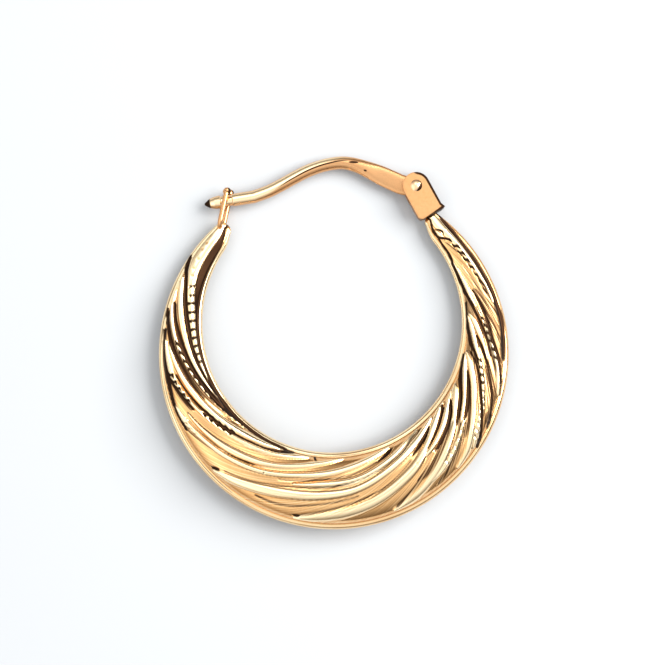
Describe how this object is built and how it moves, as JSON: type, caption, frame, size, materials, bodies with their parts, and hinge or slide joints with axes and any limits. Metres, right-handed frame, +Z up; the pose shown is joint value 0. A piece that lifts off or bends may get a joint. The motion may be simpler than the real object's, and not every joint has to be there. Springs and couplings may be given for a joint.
{
  "type": "creole hoop earring",
  "caption": "Hollow crescent creole hoop earring with a swirl of plain and beaded strands, a riveted clevis, a swinging bent ear wire and a forked catch.",
  "frame": {"origin": "middle of the earring's box at the height of the surface that it lies on", "axes": "+Z up out of the surface, +Y towards the ear wire, +X towards the hinge"},
  "size_m": [0.022, 0.0234, 0.0032],
  "materials": {
    "hoop": "polished yellow gold with dark grooves",
    "hinge_pin": "polished yellow gold",
    "ear_wire": "polished yellow gold"
  },
  "bodies": {
    "hoop": {"hoop": "hoop", "hinge_pin": "hinge_pin"},
    "ear_wire": {"ear_wire": "ear_wire"}
  },
  "joints": [
    {"name": "wire_hinge", "type": "hinge", "parent": "hoop", "child": "ear_wire", "pos_m": [0.00518, 0.00982, 0.00075], "axis": [0, -0.0444, -0.999], "range_deg": [0, 70]}
  ]
}
